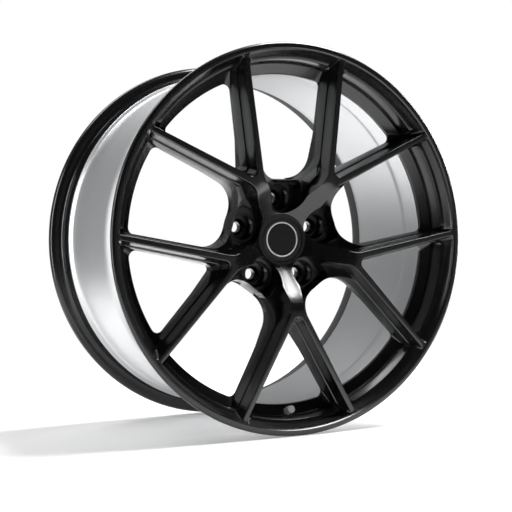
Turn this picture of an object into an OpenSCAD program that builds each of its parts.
// Forged racing wheel, 9.5J x 19, with a flow-formed barrel, a snap-in centre cap
// and a low-profile metal tyre valve.
// The wheel stands upright: its axle runs along Y, the outboard face looks to -Y and
// +Z is up. The origin is on the axle, halfway across the rim. Millimetres.
// "out" below is a distance outboard of that mid plane.

/* [Rim] */
// Radius of the bead seats, where the tyre sits
bead_r = 241.3; // [215:0.1:280]
// Height of the flanges above the bead seats
flange_h = 17.3; // [14:0.1:20]
// Overall width across both flanges
rim_w = 264.8; // [225:0.2:320]
// Width of each flange at its outer edge
flange_t = 11.7; // [9:0.1:14]
// Width of each bead seat, from the flange to its toe
seat_w = 23; // [20:0.5:26]
// Fall of each bead seat over its width
seat_fall = 1.8; // [1:0.1:2.5]
// Height of the safety humps over the toes of the bead seats
hump_h = 1.2; // [0.6:0.1:2]
// Depth of the well below the bead seats
well_depth = 15.3; // [12:0.1:22]
// Width of the floor of the well
well_w = 34; // [24:1:44]
// Depth of the flow-formed barrel below the bead seats
barrel_depth = 6.3; // [5:0.1:9]
// Wall of the barrel
barrel_wall = 4.5; // [3.5:0.1:6.5]
// Step from the inboard bead seat up to the mouth of the barrel
mouth_step = 3.7; // [1.7:0.1:5.7]

/* [Face] */
// Depth of the spoke lands behind the outboard flange
land_set = 2.0; // [1:0.1:6]
// Depth of the foot of the lip cone
lip_set = 9.9; // [8.5:0.1:11]
// Depth of the throat between the lip cone and the cove
throat_set = 15.9; // [14:0.1:18]
// Depth of the foot of the cove
cove_set = 26.8; // [22:0.5:32]
// Depth of the ledge round the windows, at its outer edge
ledge_set = 37.8; // [34:0.5:44]
// Fall of that ledge towards the windows
ledge_fall = 4.6; // [2:0.2:8]
// Radial width of the ledge
ledge_w = 13.4; // [10:0.2:18]
// Thickness of the wall behind the ledge
ledge_wall = 4.3; // [4:0.1:8]
// Radial distance between the foot of the cove and the bead seat
cove_wall = 5.3; // [4.5:0.1:8]
// Half width of the land on each arm
land_half = 4.2; // [3:0.1:7]
// Half width of the lower tier of each arm
base_half = 9.4; // [8.4:0.1:13]
// Depth of the lower tier below the lands
tier_step = 19; // [12:0.5:26]
// Overall thickness of an arm
arm_thick = 44; // [34:0.5:50]

/* [Spokes] */
// Distance from the crease, where a stem levels out, to the point where its arms part
fork_run = 2; // [0:0.5:10]
// Angle of each arm from the centre line of its Y
arm_angle = 29; // [26:0.5:31]
// Half width of the stem of a Y
stem_half = 9.3; // [7:0.1:12]
// Fillet in the fork, at the land
fork_fillet = 8; // [4:0.5:11]
// Fillet in the fork, at the lower tier
fork_foot = 6; // [4:0.5:9]
// Fillet between a stem and its arms, at the land
shoulder_fillet = 30; // [15:1:40]
// Radius of the corners at the outer end of a window
window_corner = 9; // [5:0.5:14]
// Width of the saddles between the bolt pockets and the wide windows
saddle_w = 3; // [2.5:0.5:6]
// Radius of the round foot of a wide window
saddle_round = 38; // [32:1:42]

/* [Hub] */
// Distance of the mounting face outboard of the mid plane
offset = 44; // [34:0.5:50]
// Distance from the edge of the mounting face to the wide windows
pad_inset = 9.5; // [6:0.5:11]
// Radius of the hub bore
hub_bore_r = 36.55; // [33:0.05:37]
// Length of the slope between the hub bore and the cap's bore
bore_slope_l = 3.3; // [2:0.1:6]
// Pitch circle of the wheel bolts
bolt_pcd = 114.3; // [112:0.1:118]
// Radius of a bolt hole
bolt_hole_r = 7.1; // [6.5:0.05:8]
// Outer radius of a conical bolt seat
seat_r = 11; // [9.5:0.1:12.5]
// Radius of the socket well over a bolt hole
socket_r = 16.5; // [14:0.1:17]
// Metal outside the socket wells, at their feet
socket_wall = 3.2; // [2.6:0.1:4]
// Metal left under the conical seats
seat_wall = 9.5; // [7:0.5:12]
// Wall between the cap's well and the bolt pockets
cap_wall = 3.8; // [2.5:0.1:5]
// Distance from a socket well to the outer wall of its bolt pocket
pocket_room = 2.85; // [1.5:0.05:4]
// Floor of the bolt pockets, outboard of the mid plane
pocket_out = 76; // [72:0.5:80]
// Top of the saddles between the pockets and the windows, outboard of the mid plane
saddle_out = 95; // [90:0.5:100]
// Front of the ring round the centre cap, outboard of the mid plane
nose_out = 86.5; // [85:0.5:92]
// Distance from the foot of the wide windows to the crease where a stem levels out
crease_run = 4.5; // [2:0.5:8]

/* [Centre cap] */
// Radius of the cap
cap_r = 29.4; // [28.5:0.1:30.5]
// Thickness of the cap's face
cap_t = 3.2; // [2.6:0.1:4]
// Lap of the cap's face over the edge of its bore
cap_lap = 2; // [1:0.1:3]
// Length of that bore
cap_bore_l = 8; // [6:0.5:10]
// Number of spring legs
cap_legs = 8; // [6:1:10]
// Width of a leg
leg_w = 11; // [8:0.5:13]
// Thickness of a leg
leg_t = 1.8; // [1.4:0.1:2.4]
// Width of the cap's rim, round the bright ring
cap_rim_w = 5.9; // [4:0.1:8]
// Thickness of the badge disc
badge_t = 1.2; // [1:0.1:1.6]
// Width of the bright ring round the badge
ring_w = 1.7; // [1.2:0.1:2.4]
// Wire of the cap's retaining ring
wire_d = 1.6; // [1.2:0.1:2]

/* [Valve] */
// Radius of the hole for the valve
valve_hole_r = 4.15; // [4:0.05:4.5]
// Depth of the spot face below the ledge
spot_depth = 1.2; // [0.8:0.1:1.6]
// Length of the stem in front of the spot face
stem_l = 12.5; // [11:0.5:16]
// Radius of the stem's passage
passage_r = 2.0; // [1.8:0.05:2.3]
// Radius of the stem's foot and of the grommet
foot_r = 6.2; // [5.6:0.1:6.3]
// Thickness of the foot
foot_t = 2.4; // [2:0.1:3.5]
// Thickness of the grommet behind the wall
grommet_t = 3; // [2:0.1:4]
// Width of the washer that shows round the nut's corners
washer_edge = 0.5; // [0.3:0.1:0.8]
// Thickness of the washer
washer_t = 1; // [0.8:0.1:1.5]
// Height of the nut
nut_t = 3.6; // [3:0.1:5]
// Width of the nut across its flats
nut_af = 10; // [9.5:0.5:11]
// Wall of the dust cap
dust_wall = 1.1; // [0.9:0.1:1.5]
// Thickness of the dust cap's end
dust_end = 1.4; // [1:0.1:2]
// Thickness of the seal inside the dust cap
seal_t = 0.8; // [0.5:0.1:1.2]
// Length of the core's body
core_l = 8; // [7:0.5:10]
// Radius of the core pin
pin_r = 0.6; // [0.5:0.05:0.7]
// Length of the core pin that stands out of the core's body when it is pressed
pin_stub = 0.4; // [0.2:0.1:0.8]
// Thickness of that collar
collar_t = 0.8; // [0.6:0.1:1.2]
// Travel of the core pin
pin_travel = 1.2; // [0.8:0.1:1.5]
// Wire of the core spring
spring_d = 0.3; // [0.2:0.05:0.35]
// Number of turns of the core spring
spring_turns = 5; // [4:1:7]

/* [Clearances] */
// Between the rim of the cap and the wall round it
cap_gap = 0.35; // [0.3:0.05:0.6]
// Between the cap's legs and their bore
leg_gap = 0.4; // [0.3:0.05:0.7]
// Between the washer and the edge of its spot face
spot_gap = 0.9; // [0.5:0.1:1.3]
// Between the valve's stem and its hole
stem_gap = 0.3; // [0.2:0.05:0.5]
// Between the valve's foot and the wall of the well
foot_gap = 0.33; // [0.2:0.01:0.6]
// Between the dust cap and the stem
dust_gap = 0.06; // [0.02:0.01:0.1]
// Between the core pin and its guide
pin_gap = 0.06; // [0.02:0.01:0.1]
// Between the collar on the core pin and the core's body
collar_gap = 0.25; // [0.15:0.05:0.35]
// Between stacked faces of parts that move apart
face_gap = 0.3; // [0.2:0.05:0.5]

/* [Hidden] */
$fn = 180;
ys = 5;                                   // number of Y spokes
pitch = 360 / ys;
first_y = 90 - pitch / 2;                 // a wide window stands straight up
overrun = 1;                              // cuts run past a face by this much

// Rim. A profile's points are [distance from the axle, out].
half_w = rim_w / 2;
rim_r = bead_r + flange_h;
edge_round = 4.2;                         // front round of a flange's edge
edge_curl = 7;                            // tyre-side round of a flange's edge
heel_round = 6.5;                         // fillet between a bead seat and its flange
hump_slope = 1.5;
hump_l = 3;
hump_foot = 10;                           // from a seat's toe to the barrel's wall
step_l = 16;                              // slope between the well and the barrel
seat_heel = half_w - flange_t - heel_round;
seat_toe = half_w - flange_t - seat_w;
seat_toe_r = bead_r - seat_fall;
hump_r = seat_toe_r + hump_h;
well_r = bead_r - well_depth;
well_in_r = well_r - barrel_wall;
barrel_r = bead_r - barrel_depth;
barrel_in_r = barrel_r - barrel_wall;
mouth_r = bead_r + mouth_step;

// Inner side of the face ring, from the windows out to the lip.
land_out = half_w - land_set;
lip_top_r = bead_r + 8.3;
lip_r = bead_r + 1.1;
lip_out = half_w - lip_set;
throat_out = half_w - throat_set;
cove_r = bead_r - cove_wall;
throat_r = cove_r + 1.4;
cove_out = half_w - cove_set;
ledge_out = half_w - ledge_set;
ledge_r = cove_r - 0.8;
window_r = ledge_r - ledge_w;
window_out = ledge_out - ledge_fall;
ledge_tilt = atan(ledge_fall / ledge_w);
joint_out = wall_out(well_r) - 2;         // where the barrel meets the face ring
step_out = joint_out - well_w;
hump_out = min(wall_out(hump_r), seat_toe - hump_slope - hump_l);

// Hub and spokes, outwards from the bolt circle.
bolt_r = bolt_pcd / 2;
pocket_end = bolt_r + socket_r + pocket_room;
saddle_r = pocket_end + saddle_w;         // foot of the wide windows
pad_r = saddle_r - pad_inset;
crease_r = saddle_r + crease_run;
fork_r = crease_r + fork_run;
crease_out = land_out - 3.4;
level_r = crease_r + 14;                  // the lands are level beyond this
level_out = land_out - 0.4;
tier_out = land_out - tier_step;
tier_r = crease_r + 22;                   // the lower tier is level beyond this
arm_back = land_out - arm_thick;
saddle_top = saddle_out + 1.5;            // lower tier at the crease
pocket_rim = max(saddle_out - 15, pocket_out); // foot of a saddle's slope
hub_back = saddle_out - 21;               // back of the hub at the crease
heel_r = crease_r + 26;                   // back of the arms, first bend
heel_out = arm_back - 8;
back_r = crease_r + 66;                   // the back of the arms is level beyond this
seat_out = offset + seat_wall;            // small end of a conical seat
seat_top = seat_out + (seat_r - bolt_hole_r) / tan(30);
cap_well_r = cap_r + cap_gap;
cap_bore_r = cap_r - cap_lap;
nose_r = cap_well_r + 5;                  // edge of the flat ring round the centre cap
pocket_round = (cap_well_r + cap_wall - stem_half / sin(pitch / 2)) / (1 / sin(pitch / 2) - 1);
cap_seat = nose_out - cap_t;
bore_floor = cap_seat - cap_bore_l - bore_slope_l;
top = half_w + 10;                        // clear of everything outboard
sector_corner = 2 * rim_r * [cos(pitch / 2), sin(pitch / 2)];

// Centre cap.
leg_r = cap_bore_r - leg_gap;
leg_end = bore_floor + face_gap;          // the legs stay out of the hub bore
leg_bead = 0.6;                           // snap bead, drawn as the bore springs it in
leg_neck_r = leg_r - leg_bead;
badge_out = nose_out - 0.8;
ring_out_r = cap_r - cap_rim_w;
badge_r = ring_out_r - ring_w;
badge_floor = badge_out - badge_t;

// Valve, along its own axis from the ledge's surface. Its foot just clears the well.
stem_r = valve_hole_r - stem_gap;
washer_r = nut_af / cos(30) / 2 + washer_edge;
spot_r = washer_r + spot_gap;
dust_r = stem_r + dust_gap + dust_wall;
valve_r = well_r + foot_r * cos(ledge_tilt) - ledge_wall * sin(ledge_tilt) + foot_gap;
valve_out = window_out + (valve_r - window_r) * tan(ledge_tilt);
grommet_z = -ledge_wall - grommet_t;
foot_z = grommet_z - foot_t;
stem_top = stem_l - spot_depth;
nut_z = washer_t - spot_depth;
dust_z = nut_z + nut_t + face_gap;
dust_floor = stem_top + face_gap + seal_t;
core_top = stem_top - 2;
core_z = core_top - core_l;
guide_l = 1.6;                            // the core guides its pin at both ends
core_room_r = passage_r - 0.35;           // room for the spring inside the core
collar_r = core_room_r - collar_gap;
pin_reach = pin_travel + pin_stub;
collar_z = core_top - guide_l - collar_t;
spring_z = core_z + guide_l;
spring_r = (pin_r + core_room_r) / 2;

// Tyre side of the wall behind the ledge, parallel to the ledge.
function wall_out(r) = window_out + (r - window_r) * tan(ledge_tilt) - ledge_wall / cos(ledge_tilt);

function arc(centre, r, from, to, steps) =
  [for (i = [0 : steps]) let (a = from + (to - from) * i / steps)
    centre + r * [cos(a), sin(a)]];
function mirrored(points) = [for (i = [len(points) - 1 : -1 : 0]) [points[i][0], -points[i][1]]];
function inboard(points) = [for (p = points) [p[0], -p[1]]];

// Point where two lines meet, each given by the angle of its normal and its distance.
function meet(a, d, b, e) =
  [d * sin(b) - e * sin(a), e * cos(a) - d * cos(b)] / sin(b - a);

// A flange and its bead seat, from the front round of the edge to the seat's toe.
flange_side = concat(
  arc([rim_r - edge_round, half_w - edge_round], edge_round, 90, 0, 6),
  arc([rim_r - edge_curl, half_w - flange_t + edge_curl], edge_curl, 0, -90, 6),
  arc([bead_r + heel_round, seat_heel], heel_round, 90, 180, 6),
  [[seat_toe_r, seat_toe]]
);
ring_inside = [
  [window_r, window_out], [ledge_r, ledge_out], [cove_r, cove_out],
  [throat_r, throat_out], [lip_r, lip_out], [lip_top_r, land_out]
];
ring_profile = concat(
  [[window_r, joint_out]], ring_inside, flange_side,
  [[hump_r, seat_toe - hump_slope], [hump_r, hump_out], [well_r, wall_out(well_r)],
    [well_r, joint_out]]
);
barrel_profile = [
  [well_in_r, joint_out], [well_r, joint_out], [well_r, step_out],
  [barrel_r, step_out - step_l], [barrel_r, hump_foot - seat_toe],
  [hump_r, hump_l + hump_slope - seat_toe], [hump_r, hump_slope - seat_toe],
  [seat_toe_r, -seat_toe],
  [seat_toe_r - barrel_wall, -seat_toe], [barrel_in_r, hump_foot - seat_toe],
  [barrel_in_r, step_out - step_l], [well_in_r, step_out]
];
inner_flange_profile = concat(
  inboard(flange_side),
  [[seat_toe_r - barrel_wall, -seat_toe], [bead_r - barrel_wall, -seat_heel], [mouth_r, -half_w]]
);
hub_profile = [
  [hub_bore_r, offset], [pad_r, offset], [pad_r + 1, seat_out],
  [bolt_r + socket_r + socket_wall, seat_top], [crease_r, hub_back],
  [crease_r, crease_out], [nose_r, nose_out], [cap_well_r, nose_out], [cap_well_r, cap_seat],
  [cap_bore_r, cap_seat], [cap_bore_r, cap_seat - cap_bore_l],
  [cap_bore_r + 4, bore_floor], [hub_bore_r, bore_floor]
];
spoke_profile = concat(
  [[crease_r, hub_back], [heel_r, heel_out], [back_r, arm_back], [window_r, arm_back]],
  ring_inside, [[level_r, level_out], [crease_r, crease_out]]
);
// Everything in front of the pockets and saddles, and in front of the lower tier.
pocket_space = [
  [0, pocket_out], [pocket_end, pocket_out], [pocket_end, pocket_rim], [saddle_r, saddle_out],
  [crease_r + overrun, saddle_top], [crease_r + overrun, top], [0, top]
];
tier_space = [
  [crease_r - overrun, saddle_top], [crease_r, saddle_top], [tier_r, tier_out],
  [rim_r, tier_out], [rim_r, top], [crease_r - overrun, top]
];

// ---------- shared shapes ----------

// Stands a wheel that lies on its back upright, face to -Y.
module upright() { rotate([90, 0, 0]) children(); }
module turned(profile) { rotate_extrude() polygon(profile); }
module slab(from, to) { translate([0, 0, from]) linear_extrude(to - from) children(); }
module disc(r, from, to) { translate([0, 0, from]) cylinder(r = r, h = to - from); }
module round_the_wheel(start) {
  for (k = [0 : ys - 1]) rotate(start + k * pitch) children();
}

// An opening between two flanks that spread from its middle line, along +X. It starts as
// given; a flank's normal is at angle a, and its distance from the axle is d. The opening
// ends at the ring with filleted corners, or runs out past the lip.
module opening(start, a, d, to_ring) {
  side = concat(start, to_ring ? ring_end(a, d) : [meet(a, d, 0, rim_r)]);
  polygon(concat(side, mirrored(side)));
}
function ring_end(a, d) =
  let (reach = window_r - window_corner, e = d - window_corner,
    corner = e * [cos(a), sin(a)] + sqrt(reach * reach - e * e) * [sin(a), -cos(a)],
    corner_a = atan2(corner[1], corner[0]))
  concat(arc(corner, window_corner, a, corner_a, 6),
    arc([0, 0], window_r + overrun, corner_a, 0, 8));

// Between the lands of two neighbouring Ys: a round end at the hub, then along the stems
// and the arms.
module between_lands() {
  stem_a = 90 + pitch / 2;
  arm_a = stem_a - arm_angle;
  d = fork_r * sin(arm_angle) - land_half;
  shoulder = meet(stem_a, -stem_half - shoulder_fillet, arm_a, d - shoulder_fillet);
  opening(concat(
    arc([(stem_half + pocket_round) / sin(pitch / 2), 0], pocket_round, 180, stem_a, 12),
    arc(shoulder, shoulder_fillet, stem_a, arm_a, 6)), arm_a, d, false);
}
// Between the lower tiers of two neighbouring Ys.
module wide_opening(to_ring) {
  arm_a = 90 + pitch / 2 - arm_angle;
  d = fork_r * sin(arm_angle) - base_half;
  foot = meet(arm_a, d - saddle_round, 0, saddle_r + saddle_round);
  opening(arc(foot, saddle_round, 180, arm_a, 12), arm_a, d, to_ring);
}
// In the fork of a Y, whose arms have the given half width.
module fork_opening(half, fillet, to_ring) {
  apex = [fork_r + (half + fillet) / sin(arm_angle), 0];
  arm_a = 90 + arm_angle;
  opening(arc(apex, fillet, 180, arm_a, 6), arm_a, -fork_r * sin(arm_angle) - half, to_ring);
}
// The openings of one Y, its stem along +X: in its fork and on both sides of it.
module round_one_y(to_ring) {
  for (s = [-1, 1]) rotate(s * pitch / 2) wide_opening(to_ring);
  fork_opening(base_half, fork_foot, to_ring);
}

// ---------- wheel ----------

module face_ring() {
  color("#1b1c1e") upright() difference() {
    turned(ring_profile);
    at_valve() {
      disc(spot_r, -spot_depth, ledge_wall * 2);
      disc(valve_hole_r, -2 * ledge_wall, 0);
    }
  }
}
module barrel() { color("#b9bcc0") upright() turned(barrel_profile); }
module inner_flange() { color("#1b1c1e") upright() turned(inner_flange_profile); }

module hub_centre() {
  color("#1b1c1e") upright() difference() {
    turned(hub_profile);
    round_the_wheel(first_y + pitch / 2) {
      slab(offset - overrun, top) wide_opening(true);
      intersection() {
        turned(pocket_space);
        slab(pocket_out - overrun, top) between_lands();
      }
      translate([bolt_r, 0, 0]) bolt_socket();
    }
  }
}
module bolt_socket() {
  disc(bolt_hole_r, offset - overrun, seat_top);
  translate([0, 0, seat_out])
    cylinder(r1 = bolt_hole_r, r2 = seat_r, h = seat_top - seat_out);
  disc(socket_r, seat_top, pocket_out + overrun);
}

module y_spoke(k) {
  color("#1b1c1e") upright() rotate(first_y + (k - 1) * pitch) intersection() {
    difference() {
      turned(spoke_profile);
      slab(offset, top) round_one_y(true);
      slab(window_out, top) round_one_y(false);
      intersection() {
        turned(tier_space);
        slab(offset, top) {
          for (s = [-1, 1]) rotate(s * pitch / 2) between_lands();
          fork_opening(land_half, fork_fillet, false);
        }
      }
    }
    slab(offset, top) polygon([[0, 0], sector_corner, [sector_corner[0], -sector_corner[1]]]);
  }
}

// ---------- centre cap ----------

module cap_body() {
  color("#1e1f21") upright() {
    difference() {
      union() {
        disc(cap_r, cap_seat, badge_out);
        turned([[ring_out_r + 1, badge_out], [cap_r, badge_out], [cap_r, nose_out - 0.6],
          [cap_r - 0.6, nose_out], [ring_out_r + 1.6, nose_out]]);
      }
      disc(ring_out_r, badge_floor, nose_out);
    }
    intersection() {
      turned([
        [leg_neck_r - leg_t, leg_end], [leg_r - leg_bead, leg_end], [leg_r, leg_end + leg_bead * 2],
        [leg_r, leg_end + leg_bead * 4], [leg_neck_r, leg_end + leg_bead * 6],
        [leg_neck_r, cap_seat], [leg_neck_r - leg_t, cap_seat]
      ]);
      for (k = [0 : cap_legs - 1]) rotate(k * 360 / cap_legs)
        translate([0, -leg_w / 2, leg_end - overrun]) cube([cap_r, leg_w, cap_seat - leg_end + overrun]);
    }
  }
}
module cap_badge() { color("#101113") upright() disc(badge_r, badge_floor, badge_out); }
module cap_badge_ring() {
  color("#c9ccd0") upright() difference() {
    disc(ring_out_r, badge_floor, badge_out + 0.3);
    disc(badge_r, badge_floor - overrun, nose_out);
  }
}
module cap_spring_ring() {
  color("#a9acb0") upright() rotate_extrude()
    translate([leg_neck_r - leg_t - wire_d / 2, leg_end + wire_d]) circle(d = wire_d, $fn = 24);
}

// ---------- valve ----------

// Stands on the ledge at the foot of the wheel, its axis square to the ledge.
module at_valve() {
  rotate(-90) translate([valve_r, 0, valve_out]) rotate([0, -ledge_tilt, 0]) children();
}
module tube(outer, inner, from, to) {
  difference() {
    disc(outer, from, to);
    disc(inner, from - overrun, to + overrun);
  }
}
module valve_stem() {
  color("#8c8f93") upright() at_valve() difference() {
    union() {
      disc(foot_r, foot_z, grommet_z);
      disc(stem_r, grommet_z, stem_top);
    }
    disc(passage_r, foot_z - overrun, stem_top + overrun);
  }
}
module valve_grommet() {
  color("#161616") upright() at_valve() tube(foot_r, stem_r, grommet_z, -ledge_wall);
}
module valve_washer() {
  color("#a4a7ab") upright() at_valve() tube(washer_r, stem_r, -spot_depth, nut_z);
}
module valve_nut() {
  color("#a4a7ab") upright() at_valve() difference() {
    translate([0, 0, nut_z]) cylinder(d = nut_af / cos(30), h = nut_t, $fn = 6);
    disc(stem_r, nut_z - overrun, nut_z + nut_t + overrun);
  }
}
module valve_core_body() {
  color("#c2a14d") upright() at_valve() difference() {
    disc(passage_r, core_z, core_top);
    disc(core_room_r, spring_z, core_top - guide_l);
    disc(pin_r + pin_gap, core_z - overrun, core_top + overrun);
  }
}
module valve_core_pin() {
  color("#c2a14d") upright() at_valve() {
    disc(pin_r, core_z, core_top + pin_reach);
    disc(collar_r, collar_z, collar_z + collar_t);
  }
}
// The spring's turns, as rings between the core's inner guide and the pin's collar.
module valve_core_spring() {
  step = (collar_z - spring_z - spring_d) / (spring_turns - 1);
  color("#9a9da1") upright() at_valve() for (k = [0 : spring_turns - 1])
    translate([0, 0, spring_z + spring_d / 2 + k * step])
      rotate_extrude() translate([spring_r, 0]) circle(d = spring_d, $fn = 16);
}
module valve_dust_cap() {
  color("#9fa2a6") upright() at_valve() difference() {
    disc(dust_r, dust_z, dust_floor + dust_end);
    disc(stem_r + dust_gap, dust_z - overrun, dust_floor);
  }
}
module valve_cap_seal() {
  color("#161616") upright() at_valve() disc(stem_r, dust_floor - seal_t, dust_floor);
}

face_ring();
barrel();
inner_flange();
hub_centre();
y_spoke(1);  // y_spoke_1
y_spoke(2);  // y_spoke_2
y_spoke(3);  // y_spoke_3
y_spoke(4);  // y_spoke_4
y_spoke(5);  // y_spoke_5
cap_body();
cap_badge();
cap_badge_ring();
cap_spring_ring();
valve_stem();
valve_grommet();
valve_washer();
valve_nut();
valve_core_body();
valve_core_pin();
valve_core_spring();
valve_dust_cap();
valve_cap_seal();
